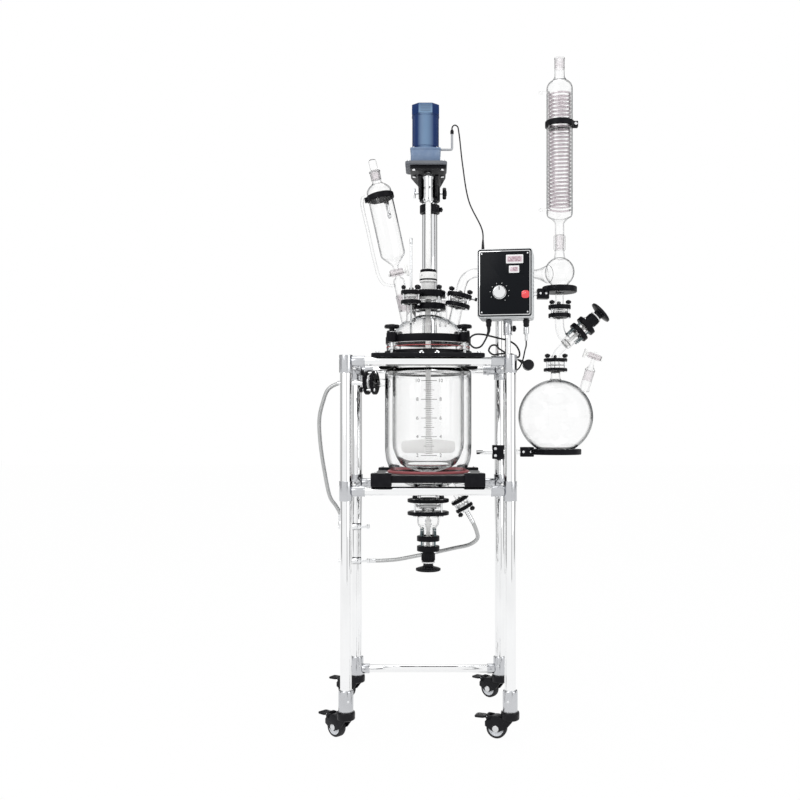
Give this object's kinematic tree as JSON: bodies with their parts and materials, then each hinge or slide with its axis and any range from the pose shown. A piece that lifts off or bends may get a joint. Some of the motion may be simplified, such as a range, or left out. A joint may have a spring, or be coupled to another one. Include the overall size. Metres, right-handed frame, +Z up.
{
  "type": "jacketed glass reactor",
  "caption": "Floor-standing jacketed glass reactor on a castor tube frame, with stirring motor, dropping funnel, coil condenser, receiving flask and speed controller.",
  "frame": {"origin": "on the floor, at the centre of the part's outline seen from above, cords left out", "axes": "+Z up, -Y towards the side with the speed controller and the brake pedals' operator, +X towards the condenser and receiving flask"},
  "size_m": [0.9201, 0.56, 2.051],
  "materials": {
    "satin_steel": "satin polished stainless tube and plate",
    "cast_steel": "bead-blasted cast tube fittings on polished rails",
    "bright_steel": "bright polished",
    "black_casting": "black powder coat, satin",
    "glass": "clear borosilicate glass",
    "thermowell_steel": "polished probe tube in a black neck clamp",
    "ptfe": "smooth white fluoropolymer",
    "motor_blue": "smooth blue-grey enamel",
    "valve_black": "moulded, satin",
    "box_grey": "light grey enamel with a black front panel",
    "knob_chrome": "turned and polished",
    "rocker_red": "translucent red",
    "tread_black": "smooth black tread on a grey-white core",
    "pedal_black": "moulded, fine texture",
    "cable_black": "flexible black sheath"
  },
  "bodies": {
    "frame": {"post_front_left": "satin_steel", "post_front_right": "satin_steel", "rear_post_frame": "satin_steel", "upper_rail_frame": "cast_steel", "shelf_rail_frame": "cast_steel", "upper_support_plate": "black_casting", "lower_support_ring": "black_casting", "reactor_vessel": "glass", "reactor_lid": "glass", "lid_clamp": "black_casting", "thermowell": "thermowell_steel", "seal_housing": "ptfe", "motor_column": "bright_steel", "motor_bracket": "black_casting", "gear_motor": "motor_blue", "dropping_funnel": "glass", "funnel_stopper": "glass", "vapour_bulb": "glass", "vapour_clamp": "black_casting", "bulb_ring": "black_casting", "bulb_joint_clamp": "black_casting", "condenser": "glass", "outlet_glass": "glass", "outlet_bonnet": "valve_black", "outlet_clamp": "black_casting", "diverter_bonnet": "valve_black", "diverter_glass": "glass", "flask_joint_clamp": "black_casting", "receiving_flask": "glass", "flask_ring": "black_casting", "upper_port_clamp": "black_casting", "lower_port_clamp": "black_casting", "control_box": "box_grey", "upper_jacket_hose": "bright_steel", "lower_jacket_hose": "bright_steel", "motor_cable": "cable_black", "sensor_cable": "cable_black", "mains_cord": "cable_black", "mains_plug": "cable_black"},
    "stirrer": {"stirrer": "ptfe"},
    "funnel_key": {"funnel_key": "ptfe"},
    "flask_key": {"flask_key": "ptfe"},
    "outlet_stem": {"outlet_stem": "ptfe"},
    "outlet_handwheel": {"outlet_handwheel": "valve_black"},
    "diverter_stem": {"diverter_stem": "ptfe"},
    "diverter_handwheel": {"diverter_handwheel": "valve_black"},
    "speed_knob": {"speed_knob": "knob_chrome"},
    "power_switch": {"power_switch": "rocker_red"},
    "castor_front_left_fork": {"castor_front_left_fork": "black_casting"},
    "castor_front_left_wheel": {"castor_front_left_wheel": "tread_black"},
    "castor_front_left_pedal": {"castor_front_left_pedal": "pedal_black"},
    "castor_front_right_fork": {"castor_front_right_fork": "black_casting"},
    "castor_front_right_wheel": {"castor_front_right_wheel": "tread_black"},
    "castor_front_right_pedal": {"castor_front_right_pedal": "pedal_black"},
    "castor_rear_left_fork": {"castor_rear_left_fork": "black_casting"},
    "castor_rear_left_wheel": {"castor_rear_left_wheel": "tread_black"},
    "castor_rear_left_pedal": {"castor_rear_left_pedal": "pedal_black"},
    "castor_rear_right_fork": {"castor_rear_right_fork": "black_casting"},
    "castor_rear_right_wheel": {"castor_rear_right_wheel": "tread_black"},
    "castor_rear_right_pedal": {"castor_rear_right_pedal": "pedal_black"}
  },
  "joints": [
    {"name": "stirrer_spin", "type": "hinge", "parent": "frame", "child": "stirrer", "pos_m": [-0.12601, -0.01051, 1.636], "axis": [0, 0, 1], "continuous": true},
    {"name": "funnel_key_turn", "type": "hinge", "parent": "frame", "child": "funnel_key", "pos_m": [-0.22009, -0.01051, 1.33929], "axis": [0.9763, 0, 0.2164], "continuous": true},
    {"name": "flask_key_turn", "type": "hinge", "parent": "frame", "child": "flask_key", "pos_m": [0.40316, 0.16149, 1.09966], "axis": [-0.9397, 0, 0.342], "continuous": true},
    {"name": "outlet_stem_slide", "type": "slide", "parent": "frame", "child": "outlet_stem", "axis": [0, 0, -1], "range_m": [0, 0.01]},
    {"name": "outlet_handwheel_turn", "type": "hinge", "parent": "outlet_stem", "child": "outlet_handwheel", "pos_m": [-0.12601, -0.01051, 0.5477], "axis": [0, 0, -1], "range_deg": [0, 900]},
    {"name": "diverter_stem_slide", "type": "slide", "parent": "frame", "child": "diverter_stem", "axis": [0.7431, 0, 0.6691], "range_m": [0, 0.01]},
    {"name": "diverter_handwheel_turn", "type": "hinge", "parent": "diverter_stem", "child": "diverter_handwheel", "pos_m": [0.34821, 0.16149, 1.17216], "axis": [0.7431, 0, 0.6691], "range_deg": [0, 900]},
    {"name": "speed_knob_turn", "type": "hinge", "parent": "frame", "child": "speed_knob", "pos_m": [0.07079, -0.26122, 1.244], "axis": [0.1564, 0.9877, 0], "range_deg": [-150, 150]},
    {"name": "power_switch_rock", "type": "hinge", "parent": "frame", "child": "power_switch", "pos_m": [0.14122, -0.26782, 1.238], "axis": [0.9877, -0.1564, 0], "range_deg": [-8, 8]},
    {"name": "castor_front_left_swivel", "type": "hinge", "parent": "frame", "child": "castor_front_left_fork", "pos_m": [-0.35601, -0.2105, 0], "axis": [0, 0, 1], "continuous": true},
    {"name": "castor_front_left_roll", "type": "hinge", "parent": "castor_front_left_fork", "child": "castor_front_left_wheel", "pos_m": [-0.38469, -0.18468, 0.029], "axis": [0.6691, 0.7431, 0], "continuous": true},
    {"name": "castor_front_left_brake_pedal", "type": "hinge", "parent": "castor_front_left_fork", "child": "castor_front_left_pedal", "pos_m": [-0.40357, -0.16768, 0.062], "axis": [-0.6691, -0.7431, 0], "range_deg": [0, 12]},
    {"name": "castor_front_right_swivel", "type": "hinge", "parent": "frame", "child": "castor_front_right_fork", "pos_m": [0.10399, -0.2105, 0], "axis": [0, 0, 1], "continuous": true},
    {"name": "castor_front_right_roll", "type": "hinge", "parent": "castor_front_right_fork", "child": "castor_front_right_wheel", "pos_m": [0.06772, -0.1973, 0.029], "axis": [0.342, 0.9397, 0], "continuous": true},
    {"name": "castor_front_right_brake_pedal", "type": "hinge", "parent": "castor_front_right_fork", "child": "castor_front_right_pedal", "pos_m": [0.04385, -0.18862, 0.062], "axis": [-0.342, -0.9397, 0], "range_deg": [0, 12]},
    {"name": "castor_rear_left_swivel", "type": "hinge", "parent": "frame", "child": "castor_rear_left_fork", "pos_m": [-0.35601, 0.18949, 0], "axis": [0, 0, 1], "continuous": true},
    {"name": "castor_rear_left_roll", "type": "hinge", "parent": "castor_rear_left_fork", "child": "castor_rear_left_wheel", "pos_m": [-0.38944, 0.2088, 0.029], "axis": [0.5, 0.866, 0], "continuous": true},
    {"name": "castor_rear_left_brake_pedal", "type": "hinge", "parent": "castor_rear_left_fork", "child": "castor_rear_left_pedal", "pos_m": [-0.41143, 0.22149, 0.062], "axis": [-0.5, -0.866, 0], "range_deg": [0, 12]},
    {"name": "castor_rear_right_swivel", "type": "hinge", "parent": "frame", "child": "castor_rear_right_fork", "pos_m": [0.10399, 0.18949, 0], "axis": [0, 0, 1], "continuous": true},
    {"name": "castor_rear_right_roll", "type": "hinge", "parent": "castor_rear_right_fork", "child": "castor_rear_right_wheel", "pos_m": [0.07358, 0.21326, 0.029], "axis": [0.6157, 0.788, 0], "continuous": true},
    {"name": "castor_rear_right_brake_pedal", "type": "hinge", "parent": "castor_rear_right_fork", "child": "castor_rear_right_pedal", "pos_m": [0.05356, 0.2289, 0.062], "axis": [-0.6157, -0.788, 0], "range_deg": [0, 12]}
  ],
  "couplings": [
    {"joint": "outlet_stem_slide", "follows": "outlet_handwheel_turn", "m_per_rad": 0.00063661},
    {"joint": "diverter_stem_slide", "follows": "diverter_handwheel_turn", "m_per_rad": 0.00063661}
  ]
}
